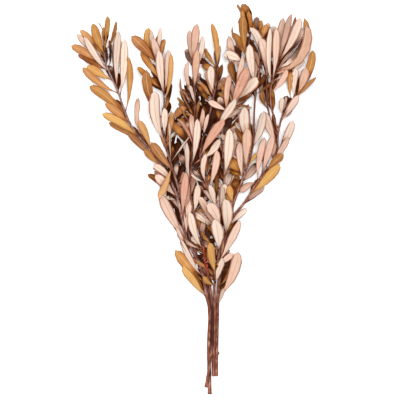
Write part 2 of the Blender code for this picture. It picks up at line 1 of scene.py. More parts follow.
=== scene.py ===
"""Looks of a bunch of dried banksia foliage that lies on a pale surface.

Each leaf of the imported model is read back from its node: the course of its midrib, its
width, and which face looks up. A leaf is modelled once, copied, and bent along each of
those courses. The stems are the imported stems, rounded and given bark.
"""

import json
import math
import random
from itertools import combinations

import bmesh
import bpy
import numpy as np
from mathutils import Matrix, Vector, noise
from mathutils.bvhtree import BVHTree


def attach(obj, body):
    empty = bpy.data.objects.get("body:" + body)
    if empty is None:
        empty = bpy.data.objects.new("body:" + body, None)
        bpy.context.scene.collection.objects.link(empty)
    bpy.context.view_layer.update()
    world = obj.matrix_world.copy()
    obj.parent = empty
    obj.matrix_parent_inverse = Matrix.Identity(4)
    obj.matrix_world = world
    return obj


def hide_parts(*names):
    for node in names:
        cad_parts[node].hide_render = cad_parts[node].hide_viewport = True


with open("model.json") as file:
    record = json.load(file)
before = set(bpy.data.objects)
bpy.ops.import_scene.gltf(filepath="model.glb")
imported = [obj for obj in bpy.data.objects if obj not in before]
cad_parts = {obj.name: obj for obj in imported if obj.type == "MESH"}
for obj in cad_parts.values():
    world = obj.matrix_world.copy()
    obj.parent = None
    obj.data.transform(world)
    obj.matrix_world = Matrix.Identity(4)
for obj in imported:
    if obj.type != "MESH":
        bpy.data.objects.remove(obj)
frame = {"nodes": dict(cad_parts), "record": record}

for startup_name in ("Cube", "Light", "Camera"):
    startup = bpy.data.objects.get(startup_name)
    if startup:
        bpy.data.objects.remove(startup)
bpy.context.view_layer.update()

MM = 0.001
SEED = 5
WELD = 0.01 * MM
SLOTS = {s["node"]: s["material_slot"] for s in frame["record"]["subparts"]}
WOOD_NODES = sorted(n for n in frame["nodes"] if SLOTS[n] == "bark")
LEAF_NODES = sorted(n for n in frame["nodes"] if SLOTS[n] != "bark")

# A packed leaf has a four-point ring at each of these shares of its length, given here
# from the tip down. The second number is its width there, as a share of its widest.
CAD_RINGS = ((0.94, 0.513), (0.79, 0.881), (0.5, 0.952), (0.22, 0.578))
RING = 4
FEWEST_RINGS = 2  # the rings nearest the foot can be lost where leaves meet
LEAST_TIP = 0.8 * MM  # a corner that is nearer than this to its ring is no leaf's tip
FOOT_DEPTH = 0.35 * MM  # how far a leaf's foot sits in the bark
MIDWAY = 2  # the point of a midrib, counted from its foot, that is about halfway along

# The leaf that is copied: share of its length and half-width at each row of points.
BLANK_ROWS = (
    (0.0, 0.10), (0.10, 0.12), (0.25, 0.37), (0.43, 0.74),
    (0.62, 0.97), (0.80, 0.97), (0.93, 0.66), (1.0, 0.0),
)
STALK_ROWS = 2
BLADE_THICKNESS = 0.45 * MM
RIB_DEPTH = 0.35 * MM
MARGIN_ROLL = 0.25 * MM
BLADE_EDGE = math.radians(50)

# What differs from leaf to leaf, from the least to the most. Turns are in degrees: of
# the whole blade, and what is added up to its tip.
ROLL, TWIST = (-14, 14), (-22, 22)
WIDER, NARROWER_INSIDE = (0.92, 1.06), (0, 0.18)
# Heights in mm: of a blade that is cupped, folded at its midrib or rippled at its
# margins, and of a tip that curls, from this share of the length. A blade also bends
# sideways.
CUP, FOLD, RIPPLE = (-1.0, 2.2), (-1.4, 1.9), (0.2, 1.3)
TIP_CURL, TIP_FROM, SIDE_BEND = (-2.0, 3.5), 0.7, (-1.2, 1.2)
RIPPLES = 2  # along a blade
# Shares of the width: of a wavy margin, and of a blade that is broader at one end.
UNEVEN, BROADER_END, BROADER_FROM = (0, 0.12), (-0.35, 0.35), 0.6
MARGIN_WAVES = 6.5
AGE_VARIES = (-0.25, 0.22)
LOWEST_OF_LEAF = 0.2 * MM

# The thick of the bunch: outlines that each give the lowest and highest x at some y, in
# mm. More leaves lie there below the others, from the same feet, wherever the floor
# would show through.
THICK = (
    (
        (-125, 17, 50), (-100, 8, 60), (-48, -25, 62), (-5, -38, 66), (16, -45, 76),
        (80, -42, 82), (144, -28, 84), (200, -8, 60),
    ),
    ((185, 105, 140), (205, 100, 168), (235, 80, 178), (262, 78, 178), (275, 82, 172)),
)
CELL = 2.2 * MM  # of a grid on the floor, where gaps are looked for
BLADE_SHARES = np.linspace(0.08, 0.98, 30)  # places of a blade that are marked on it
BLADE_STRIPS = np.linspace(-0.7, 0.7, 7)
LOWER_ROUNDS = 9
LOWER_CHOICES = 30  # for each leaf and round
MOST_SPILL = 0.12  # share of a lower leaf that may lie outside the thick and the others
LEAST_GAIN = 0.055  # share of it that has to fill a gap
# A lower leaf beside the leaf that it starts with: how far round it leans, in degrees,
# its size, and the share of its height that it sinks.
LOWER_TURNS, LOWER_LENGTHS, LOWER_WIDTHS = (8, 62), (0.7, 1.05), (0.5, 0.95)
LOWER_DROP, LOWER_FLOOR, LOWER_BEND = 0.6, 2 * MM, 0.6  # the last is a power
LOWER_SHADE_AND_AGE = (-0.8, 0.2)  # added to how deep it lies in the bunch

# How deep a place lies in the bunch is the share of these ways up from it that meet a
# leaf or a stem; leaves and stems are painted darker with it, as shade.
COVER_WAYS = [Vector(way).normalized() for way in (
    (0, 0, 1), (0.7, 0, 1), (-0.7, 0, 1), (0, 0.7, 1), (0, -0.7, 1), (1.5, 1.5, 1), (-1.5, 1.5, 1),
    (1.5, -1.5, 1), (-1.5, -1.5, 1),
)]
COVER_START, COVER_REACH = 1.6 * MM, 70 * MM
# Painted shade: the hollow of the bunch that is painted darkest, and what it adds there:
# to a lower leaf, and as a share of how deep any leaf lies.
HOLLOW_X, HOLLOW_Y, HOLLOW_EDGE = (-58 * MM, 52 * MM), (-20 * MM, 220 * MM), 35 * MM
HOLLOW_LOWER, HOLLOW_DEEPER = 0.3, 0.6
# Painted shade: the stretch of the lowest leaves, and what it adds to a lower leaf there.
FOOT_Y, FOOT_EDGE, FOOT_LOWER = (-150 * MM, -5 * MM), 30 * MM, 0.6
# Upper faces turn browner across these stretches of x and y.
BROWNER_X, BROWNER_Y = (-20 * MM, 60 * MM), (60 * MM, 140 * MM)
PALER_UNDERSIDES = 2.7  # most undersides are pale; this is a power

FLOOR_TONES = ("efefef", "f4f4f4")
SKY = 0.3
LAMPS = (
    # name, place, size, power
    ("key", (-0.75, 0.6, 2.2), 0.9, 30),
    ("front", (0.1, 0.1, 3.4), 0.7, 132),
)
CAMERA_PLACE = (10.27 * MM, 0.1 * MM, 3.22)
LENS, SENSOR = 180, 36

BARK_VOXEL = 0.7 * MM
BARK_SWELL = 0.3 * MM
# Relief of the bark: its grain along X, Y and Z in mm, its height, and where its noise
# starts.
BARK_RELIEF = (((1.6, 9, 1.6), 0.10 * MM, 0), ((5, 16, 5), 0.16 * MM, 5))
STEM_APART = 17.3  # in the noise, so no two stems have the same bark
LEAF_CUSHION = (2.7 * MM, 0.5 * MM)  # radius and height of the swelling under a leaf
LEAF_SCAR = (2.2 * MM, 0.45 * MM)
SCARS_PER_STEM = 9
BARE_STEM = (-300 * MM, -160 * MM)  # stretch of y where the leaves have dropped
BUD = ("right_stem", (40 * MM, -246 * MM, 5 * MM))
BUD_SIZE = (3.2 * MM, 2.2 * MM)
FLARE_LENGTH, FLARE = 9 * MM, 0.45 * MM  # how a stem widens to its cut end
CUT_END = 1.2 * MM
LOWEST_OF_STEM = 0.1 * MM
# Painted shade: a flank is painted darker as its normal turns from this far up to this far,
# and not at the cut end: the second pair is how far from it that starts, and where it is whole.
FLANK, FLANK_FROM_END = (0.7, 0.0), (3 * MM, 9 * MM)
GREY_STEMS = {"left_stem": 1.0, "inner_left_stem": 0.5}
LEAST_GREY, GREY_PATCHES, GREY_VARIES = 0.12, (8, 30, 8), (0.75, 0.35)
GREYING = (-190 * MM, 0)  # y where a stem starts to be grey, and where it all is
KNOBBLY_STEM = "middle_stem"  # the red one
KNOBBLY, KNOBBLY_EDGE = (-120 * MM, -62 * MM), 12 * MM
KNOBS, KNOB_SWELL, KNOB_HEIGHT = (1.9, 2.4, 1.9), 0.7, 1.7  # grain and heights in mm
# Painted shade: a stretch of the red stem painted dark, as shade between the stems, and its soft
# edge.
DARK_STRETCH, DARK_EDGE = (-250 * MM, -150 * MM), 20 * MM  # of the same stem
STATION = 6 * MM  # the depth of the bark in the bunch is found once in each such cube


def linear(colour):
    """A six-digit sRGB hex colour as linear RGBA."""
    parts = [int(colour[k : k + 2], 16) / 255 for k in (0, 2, 4)]
    return (*[c / 12.92 if c <= 0.04045 else ((c + 0.055) / 1.055) ** 2.4 for c in parts], 1)


def unit(vector):
    """The vector, or each row of an array, at length 1."""
    return vector / np.linalg.norm(vector, axis=-1, keepdims=True)


def ramp(value, start, end):
    """0 up to the start, 1 from the end on, and evenly between them."""
    return np.clip((value - start) / (end - start), 0, 1)


def within(value, stretch, soft):
    """1 inside a stretch, and 0 outside it, with soft edges."""
    low, high = stretch
    return ramp(value, low, low + soft) * ramp(value, high, high - soft)


# ---------------------------------------------------------------- reading the leaves


def joined_points(node):
    """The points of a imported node, joined, and the points that each is linked to."""
    work = bmesh.new()
    work.from_mesh(frame["nodes"][node].data)
    bmesh.ops.remove_doubles(work, verts=work.verts, dist=WELD)
    work.verts.index_update()
    points = np.array([v.co for v in work.verts])
    links = [[e.other_vert(v).index for e in v.link_edges] for v in work.verts]
    work.free()
    return points, links


def rings_from(tip, links):
    """The four-point rings that follow a leaf's tip, or none if it isn't a tip."""
    seen, layer, rings = {tip}, [tip], []
    for _ in CAD_RINGS:
        layer = sorted({n for v in layer for n in links[v]} - seen)
        if len(layer) != RING:
            break
        seen.update(layer)
        rings.append(layer)
    return rings if len(links[tip]) == RING and len(rings) >= FEWEST_RINGS else []


def read_ring(corners):
    """(middle, half-width, direction to one edge, direction that the upper face looks)."""
    pairs = list(combinations(range(RING), 2))
    a, b = max(pairs, key=lambda pair: np.linalg.norm(corners[pair[0]] - corners[pair[1]]))
    middle = (corners[a] + corners[b]) / 2
    across = corners[a] - corners[b]
    ribs = [corners[k] - middle for k in range(RING) if k not in (a, b)]
    underside = max(ribs, key=np.linalg.norm)
    return middle, np.linalg.norm(across) / 2, unit(across), -unit(underside)


def read_leaves(node):
    """The leaves of a node: (points on the midrib, directions up, half-width, added age)."""
    points, links = joined_points(node)
    leaves = []
    for tip in range(len(points)):
        rings = [read_ring(points[ring]) for ring in rings_from(tip, links)]
        if not rings:
            continue
        shares = np.array([share for share, _ in CAD_RINGS[: len(rings)]])
        middles = np.array([ring[0] for ring in rings])
        if np.linalg.norm(points[tip] - middles[0]) < LEAST_TIP:
            continue
        # The midrib is a curve of two spans: its foot is found from the rest of it.
        rest = middles - np.outer(shares**2, points[tip])
        weights = np.column_stack([(1 - shares) ** 2, 2 * shares * (1 - shares)])
        foot = np.linalg.lstsq(weights, rest, rcond=None)[0][0]
        at_wood, normal, _, _ = wood_surface.find_nearest(Vector(foot))
        foot = np.array(at_wood - normal * FOOT_DEPTH)
        course = np.array([foot, *middles[::-1], points[tip]])
        ups = np.array([ring[3] for ring in rings])[::-1]
        ups = np.array([ups[0], *ups, ups[-1]])
        half = max(ring[1] / width for ring, (_, width) in zip(rings[1:3], CAD_RINGS[1:3]))
        leaves.append((course, ups, half, 0))
    return leaves


def surface_of(nodes):
    """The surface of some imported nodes, for finding places on it."""
    points, faces = [], []
    for node in nodes:
        mesh = frame["nodes"][node].data
        start = len(points)
        points += [v.co.copy() for v in mesh.vertices]
        faces += [[start + k for k in face.vertices] for face in mesh.polygons]
    return BVHTree.FromPolygons(points, faces)


def in_hollow(places):
    """1 for places in the hollow of the bunch that is painted darkest, as shade, and 0 for places
    outside it.
    """
    across = within(places[:, 0], HOLLOW_X, HOLLOW_EDGE)
    return across * within(places[:, 1], HOLLOW_Y, HOLLOW_EDGE)


def cover(places):
    """How deep in the bunch each place is: 0 in the open, 1 with leaves all over it."""
    amount = []
    for place in places:
        start = Vector(place) + Vector((0, 0, COVER_START))
        hits = sum(packed.ray_cast(start, way, COVER_REACH)[0] is not None for way in COVER_WAYS)
        amount.append(hits / len(COVER_WAYS))
    return np.array(amount)


# ---------------------------------------------------------------- shaping by hand


def only(piece):
    """Selects this piece and nothing else."""
    bpy.ops.object.select_all(action="DESELECT")
    piece.select_set(True)
    bpy.context.view_layer.objects.active = piece


def pick(piece, wanted):
    """Selects the points of the piece, in edit mode, whose place is wanted."""
    work = bmesh.from_edit_mesh(piece.data)
    for point in work.verts:
        point.select_set(wanted(point.co))
    work.select_flush(True)
    work.select_flush(False)
    bmesh.update_edit_mesh(piece.data)


def apply_all(piece):
    """Applies the piece's modifiers in order."""
    only(piece)
    for modifier in list(piece.modifiers):
        bpy.ops.object.modifier_apply(modifier=modifier.name)


def leaf_blank():
    """The leaf that is copied: flat, 1 long, half-width 1, with its foot at the origin."""
    bpy.ops.object.select_all(action="DESELECT")
    rows = len(BLANK_ROWS) - 1
    bpy.ops.mesh.primitive_grid_add(
        x_subdivisions=4, y_subdivisions=rows, size=1, location=(0, 0.5, 0)
    )
    blank = bpy.context.object
    blank.name = "leaf_blank"
    blank.scale.x = 2
    bpy.ops.object.transform_apply(location=True, scale=True)
    bpy.ops.object.mode_set(mode="EDIT")
    for row, (share, _) in reversed(list(enumerate(BLANK_ROWS))):
        pick(blank, lambda co: abs(co.y - row / rows) < 0.4 / rows)
        bpy.ops.transform.translate(value=(0, share - row / rows, 0))
    bpy.ops.object.mode_set(mode="OBJECT")
    blade_map = blank.data.uv_layers.active
    blade_map.name = "blade"
    for loop in blank.data.loops:
        place = blank.data.vertices[loop.vertex_index].co
        blade_map.data[loop.index].uv = (0.5 + place.x / 2, place.y)
    bpy.ops.object.mode_set(mode="EDIT")
    pick(blank, lambda co: abs(co.x) < 0.1)
    bpy.ops.transform.translate(value=(0, 0, -RIB_DEPTH))
    pick(blank, lambda co: abs(co.x) > 0.9)
    bpy.ops.transform.translate(value=(0, 0, -MARGIN_ROLL))
    for share, half in BLANK_ROWS[:-1]:
        pick(blank, lambda co: abs(co.y - share) < 0.01)
        bpy.ops.transform.resize(value=(half, 1, 1), center_override=(0, share, 0))
    pick(blank, lambda co: co.y > 0.99)
    bpy.ops.mesh.merge(type="CENTER")
    bpy.ops.object.mode_set(mode="OBJECT")
    skin = blank.modifiers.new("Blade", "SOLIDIFY")
    skin.thickness = BLADE_THICKNESS
    skin.offset = 0
    skin.material_offset = 1
    skin.material_offset_rim = 1
    blank.data.materials.append(upper_face)
    blank.data.materials.append(underside)
    apply_all(blank)
    bpy.ops.object.shade_smooth_by_angle(angle=BLADE_EDGE)
    for name in ("tint", "shade_and_age"):
        blank.data.attributes.new(name, "FLOAT", "POINT")
    return blank


def along(course, shares):
    """(shares of the course's points, places, directions), the last two at these shares
    of a smooth curve through the course."""
    steps = np.linalg.norm(np.diff(course, axis=0), axis=1)
    knots = np.concatenate([[0], np.cumsum(steps)]) / steps.sum()
    slopes = np.gradient(course, knots, axis=0)
    k = np.clip(np.searchsorted(knots, shares) - 1, 0, len(knots) - 2)
    gap = (knots[k + 1] - knots[k])[:, None]
    t = (shares - knots[k])[:, None] / gap
    p, q, dp, dq = course[k], course[k + 1], slopes[k] * gap, slopes[k + 1] * gap
    places = (
        (2 * t**3 - 3 * t**2 + 1) * p + (t**3 - 2 * t**2 + t) * dp
        + (3 * t**2 - 2 * t**3) * q + (t**3 - t**2) * dq
    )
    ahead = (
        (6 * t**2 - 6 * t) * (p - q) + (3 * t**2 - 4 * t + 1) * dp + (3 * t**2 - 2 * t) * dq
    )
    return knots, places, unit(ahead)


def grow_leaf(blank, leaf, draw):
    """A copy of the blank, bent along the leaf's midrib, a little differently each time."""
    course, ups, half, extra_shade_and_age = leaf
    mesh = blank.data.copy()
    flat = np.zeros(len(mesh.vertices) * 3)
    mesh.vertices.foreach_get("co", flat)
    x, shares, z = flat.reshape(-1, 3).T
    knots, places, ahead = along(course, np.clip(shares, 0, 1))
    up = np.column_stack([np.interp(shares, knots, ups[:, k]) for k in range(3)])
    right = unit(np.cross(ahead, up))
    up = np.cross(right, ahead)
    rows = np.array([share for share, _ in BLANK_ROWS])
    spots = along(course, rows)[1]
    # Painted shade: how much of the bunch covers each row of the blade, more in the hollow, plus
    # what a lower leaf adds.
    shade_and_age = cover(spots) * (1 + HOLLOW_DEEPER * in_hollow(spots)) + extra_shade_and_age
    inner = min(shade_and_age[STALK_ROWS:].mean() * 2, 1)
    half = half * (draw.uniform(*WIDER) - inner * draw.uniform(*NARROWER_INSIDE))
    roll = np.radians(draw.uniform(*ROLL) * (1 + inner) + draw.uniform(*TWIST) * shares)
    right, up = (
        right * np.cos(roll)[:, None] + up * np.sin(roll)[:, None],
        up * np.cos(roll)[:, None] - right * np.sin(roll)[:, None],
    )
    cup = draw.uniform(*CUP) * MM
    fold = draw.uniform(*FOLD) * MM
    ripple = draw.uniform(*RIPPLE) * MM
    phase = draw.uniform(0, 2 * math.pi)
    tip_curl = draw.uniform(*TIP_CURL) * MM
    side_bend = draw.uniform(*SIDE_BEND) * MM
    swell = np.sin(math.pi * np.clip(shares, 0, 1))
    waves = np.sin(2 * RIPPLES * math.pi * shares + phase + np.sign(x))
    rise = z - (cup * x**2 + fold * np.abs(x)) * swell
    rise += ripple * np.abs(x) * waves
    rise -= tip_curl * ramp(shares, TIP_FROM, 1) ** 2
    uneven = draw.uniform(*UNEVEN) * np.sin(MARGIN_WAVES * shares + phase * np.sign(x))
    uneven += draw.uniform(*BROADER_END) * (shares - BROADER_FROM)
    aside = x * half * (1 + uneven) + side_bend * swell
    shaped = places + right * aside[:, None] + up * rise[:, None]
    shaped[:, 2] = np.maximum(shaped[:, 2], LOWEST_OF_LEAF)
    mesh.vertices.foreach_set("co", shaped.ravel())
    # A random share of leaf-to-leaf tone is added to the painted shade.
    shade_and_age = np.interp(shares, rows, shade_and_age) + draw.uniform(*AGE_VARIES) * (0.4 + inner)
    mesh.attributes["shade_and_age"].data.foreach_set("value", np.clip(shade_and_age, 0, 1))
    tint = draw.random()
    if ups[MIDWAY, 2] < 0:
        tint **= PALER_UNDERSIDES
    else:
        east, north, _ = course[MIDWAY]
        tint = 1 - (1 - tint) * (1 - 0.5 * ramp(east, *BROWNER_X) * ramp(north, *BROWNER_Y))
    mesh.attributes["tint"].data.foreach_set("value", np.full(len(shaped), tint))
    mesh.update()
    piece = bpy.data.objects.new("leaf", mesh)
    bpy.context.scene.collection.objects.link(piece)
    return piece


def lower_leaf(leaf, draw):
    """A leaf from the same foot that leans out to one side and lies lower."""
    course, ups, half, _ = leaf
    turn = math.radians(draw.choice((-1, 1)) * draw.uniform(*LOWER_TURNS))
    spin = np.array([
        [math.cos(turn), -math.sin(turn), 0], [math.sin(turn), math.cos(turn), 0], [0, 0, 1],
    ])
    moved = (course - course[0]) @ spin.T * draw.uniform(*LOWER_LENGTHS) + course[0]
    drop = (LOWER_DROP * (moved[:, 2] - LOWER_FLOOR)).clip(0)
    moved[:, 2] -= drop * np.linspace(0, 1, len(moved)) ** LOWER_BEND
    half *= draw.uniform(*LOWER_WIDTHS)
    middle = moved[MIDWAY : MIDWAY + 1]
    # Painted shade: a lower leaf is painted darker in the hollow and near the foot of the bunch,
    # shifted at random.
    shade_and_age = draw.uniform(*LOWER_SHADE_AND_AGE) + HOLLOW_LOWER * in_hollow(middle)[0]
    shade_and_age += FOOT_LOWER * within(middle[0, 1], FOOT_Y, FOOT_EDGE)
    return moved, ups @ spin.T, half, shade_and_age


def blade_cells(leaf):
    """The cells of a grid on the floor that a leaf lies over."""
    course, ups, half, _ = leaf
    knots, places, ahead = along(course, BLADE_SHARES)
    up = np.column_stack([np.interp(BLADE_SHARES, knots, ups[:, k]) for k in range(3)])
    right = unit(np.cross(ahead, up))
    width = half * np.interp(BLADE_SHARES, *np.transpose(BLANK_ROWS))
    spots = [places + right * (width * strip)[:, None] for strip in BLADE_STRIPS]
    return {(int(x), int(y)) for x, y in np.concatenate(spots)[:, :2] // CELL}


def thick_cells():
    """The cells of the grid that are in the thick of the bunch."""
    cells = set()
    for outline in THICK:
        ys, lows, highs = np.transpose(outline) * MM
        for y in range(int(ys[0] // CELL), int(ys[-1] // CELL)):
            low, high = (np.interp(y * CELL, ys, xs) for xs in (lows, highs))
            cells |= {(x, y) for x in range(int(low // CELL), int(high // CELL))}
    return cells


def fill_gaps(leaves, draw):
    """Adds lower leaves, from the same feet, where the floor shows in the thick."""
    thick = thick_cells()
    covered = set().union(*(blade_cells(leaf) for group in leaves.values() for leaf in group))
    gaps = thick - covered
    first = {node: list(group) for node, group in leaves.items()}
    for _ in range(LOWER_ROUNDS):
        for node, group in first.items():
            for leaf in group:
                if not blade_cells(leaf) & thick:
                    continue
                best, gain = None, LEAST_GAIN
                for _ in range(LOWER_CHOICES):
                    other = lower_leaf(leaf, draw)
                    cells = blade_cells(other)
                    if len(cells - thick - covered) > MOST_SPILL * len(cells):
                        continue
                    share = len(cells & gaps) / len(cells)
                    if share > gain:
                        best, gain = other, share
                if best:
                    leaves[node].append(best)
                    gaps -= blade_cells(best)


def leaf_group(blank, node, leaves, draw):
    """All leaves of a node, joined into one piece that stands for it; gives their feet."""
    copies = [grow_leaf(blank, leaf, draw) for leaf in leaves]
    only(copies[0])
    for piece in copies:
        piece.select_set(True)
    bpy.ops.object.join()
    group = copies[0]
    group.name = node.replace("_leaves_", "_foliage_")
    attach(group, "root")
    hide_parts(node)
    return [leaf[0][0] for leaf in leaves]


def bumps(points, normals, centres, size):
    """Moves the points outwards round each centre, as a low swelling; gives how much."""
    radius, height = size
    amount = np.zeros(len(points))
    for centre in centres:
        away = np.linalg.norm(points - centre, axis=1) / radius
        amount = np.maximum(amount, np.clip(1 - away**2, 0, 1) ** 2)
    return points + normals * (amount * height)[:, None], amount


def bark_noise(points, stretch, seed):
    """Noise between -1 and 1; stretch is its grain in mm along X, Y and Z."""
    scaled = points / (np.array(stretch) * MM) + seed
    return np.array([noise.noise(Vector(p)) for p in scaled])


def rounded_stem(node):
    """A copy of a packed stem with its corners rounded off."""
    stem = bpy.data.objects.new(node + "_bark", frame["nodes"][node].data.copy())
    bpy.context.scene.collection.objects.link(stem)
    only(stem)
    bpy.ops.object.mode_set(mode="EDIT")
    bpy.ops.mesh.select_all(action="SELECT")
    bpy.ops.mesh.remove_doubles(threshold=WELD)
    bpy.ops.object.mode_set(mode="OBJECT")
    skin = stem.modifiers.new("Rounding", "REMESH")
    skin.mode = "VOXEL"
    skin.voxel_size = BARK_VOXEL
    even = stem.modifiers.new("Evening", "SMOOTH")
    even.factor = 0.5
    even.iterations = 4
    apply_all(stem)
    return stem


def station(place):
    """The number of the cube that a place is in, along X, Y and Z."""
    return tuple((place // STATION).astype(int))


def depth_along(points):
    """How deep in the bunch each point of a stem is, as its highest neighbour is."""
    stations = {}
    for place in points[np.argsort(-points[:, 2], kind="stable")]:
        stations.setdefault(station(place), place)
    depth = dict(zip(stations, cover(list(stations.values()))))
    return np.array([depth[station(place)] for place in points])


def bark_stem(node, feet, draw):
    """A rounded copy of a packed stem, with bark relief, leaf cushions and scars."""
    stem = rounded_stem(node)
    mesh = stem.data
    points = np.zeros(len(mesh.vertices) * 3)
    normals = np.zeros(len(mesh.vertices) * 3)
    mesh.vertices.foreach_get("co", points)
    mesh.vertex_normals.foreach_get("vector", normals)
    points, normals = points.reshape(-1, 3), normals.reshape(-1, 3)
    y = points[:, 1]
    foot_y = y.min()
    seed = WOOD_NODES.index(node) * STEM_APART
    relief = np.full(len(points), BARK_SWELL)
    for grain, height, start in BARK_RELIEF:
        relief += height * bark_noise(points, grain, seed + start)
    knobbly = np.zeros(len(points))
    if node == KNOBBLY_STEM:
        knobbly = within(y, KNOBBLY, KNOBBLY_EDGE)
        knobs = np.abs(bark_noise(points, KNOBS, seed))
        relief += knobbly * (knobs * KNOB_HEIGHT + KNOB_SWELL) * MM
    points = points + normals * relief[:, None]
    bare = np.flatnonzero((y > BARE_STEM[0]) & (y < BARE_STEM[1]))
    scars = [points[draw.choice(bare)].copy() for _ in range(SCARS_PER_STEM)]
    points, cushion = bumps(points, normals, feet, LEAF_CUSHION)
    points, scar = bumps(points, normals, scars, LEAF_SCAR)
    if node == BUD[0]:
        points, _ = bumps(points, normals, [BUD[1]], BUD_SIZE)
    flare = FLARE * np.clip(1 - (y - foot_y) / FLARE_LENGTH, 0, 1) ** 2
    points = points + normals * [1, 0, 1] * flare[:, None]
    points[:, 2] = np.maximum(points[:, 2], LOWEST_OF_STEM)
    mesh.vertices.foreach_set("co", points.ravel())

    patches = GREY_VARIES[0] + GREY_VARIES[1] * bark_noise(points, GREY_PATCHES, seed + 9)
    grey = GREY_STEMS.get(node, LEAST_GREY) * patches * ramp(y, *GREYING)
    # Painted shade: a stem is painted darker as deep as it lies among the leaves, less so where
    # it is grey, and at its flanks; the red stem also along its dark stretch.
    shade_and_age = depth_along(points) * (1 - 0.7 * grey.clip(0, 1))
    flank = ramp(normals[:, 2], *FLANK) * ramp(y - foot_y, *FLANK_FROM_END)
    shade_and_age = np.maximum(shade_and_age, flank)
    if node == KNOBBLY_STEM:
        shade_and_age = np.maximum(shade_and_age, within(y, DARK_STRETCH, DARK_EDGE))
    painted = {"knot": np.maximum(cushion, scar), "knobbly": knobbly, "grey": grey, "shade_and_age": shade_and_age}
    for name, values in painted.items():
        mesh.attributes.new(name, "FLOAT", "POINT").data.foreach_set("value", values)
    mesh.materials.clear()
    mesh.materials.append(bark)
    mesh.materials.append(cut_wood)
    for face in mesh.polygons:
        clipped = face.center.y < foot_y + CUT_END and face.normal.y < -0.6
        face.material_index = int(clipped)
    mesh.shade_smooth()
    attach(stem, "root")
    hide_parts(node)


# ---------------------------------------------------------------- materials


def new_material(name):
    """(material, its node tree, its shader)."""
    made = bpy.data.materials.new(name)
    made.use_nodes = True
    return made, made.node_tree, made.node_tree.nodes["Principled BSDF"]


def add(tree, kind, inputs=(), **settings):
    """Adds a node; inputs holds pairs of a socket's name or number and a value or link."""
    made = tree.nodes.new(kind)
    for name, value in settings.items():
        setattr(made, name, value)
    for socket, value in inputs:
        if isinstance(value, bpy.types.NodeSocket):
            tree.links.new(value, made.inputs[socket])
        else:
            made.inputs[socket].default_value = value
    return made


def tones(tree, place, stops):
    """A colour ramp through (place, hex colour) stops, read at place."""
    made = add(tree, "ShaderNodeValToRGB", [(0, place)])
    elements = made.color_ramp.elements
    while len(elements) < len(stops):
        elements.new(0.5)
    for element, (where, colour) in zip(elements, stops):
        element.position = where
        element.color = linear(colour)
    return made.outputs[0]


